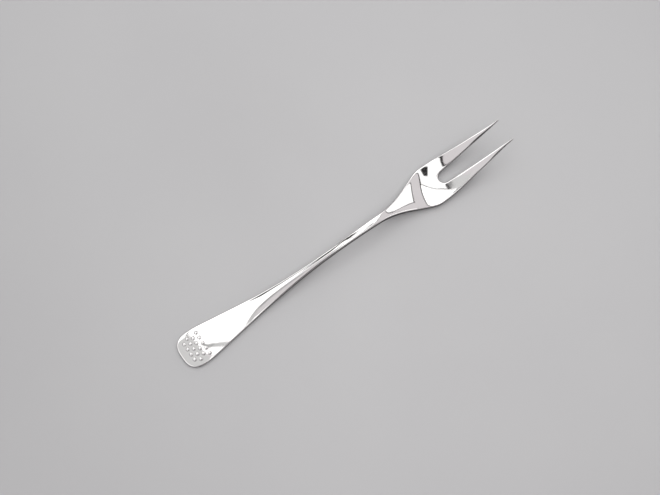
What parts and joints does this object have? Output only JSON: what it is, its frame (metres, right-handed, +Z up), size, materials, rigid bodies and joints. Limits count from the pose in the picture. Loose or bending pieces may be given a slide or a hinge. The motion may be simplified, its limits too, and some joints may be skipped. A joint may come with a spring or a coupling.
{
  "type": "meat fork",
  "caption": "Polished silver serving fork for cold meat: beaded spatulate handle, slender arched stem, dished head and long tapering tines with a round-bottomed gap.",
  "frame": {"origin": "on the table plane, under the middle of the fork's length, on its middle line", "axes": "+X along the fork from the handle to the tips of the tines, +Y towards the left tine, +Z up from the table, tines curving up"},
  "size_m": [0.19, 0.0208, 0.0133],
  "materials": {
    "silver": "mirror-polished silver with fine wear marks",
    "bead_silver": "polished silver domes, darker where they meet the handle"
  },
  "bodies": {
    "root": {"handle": "silver", "stem": "silver", "head": "silver", "tine_left": "silver", "tine_right": "silver", "beads": "bead_silver"}
  },
  "joints": []
}
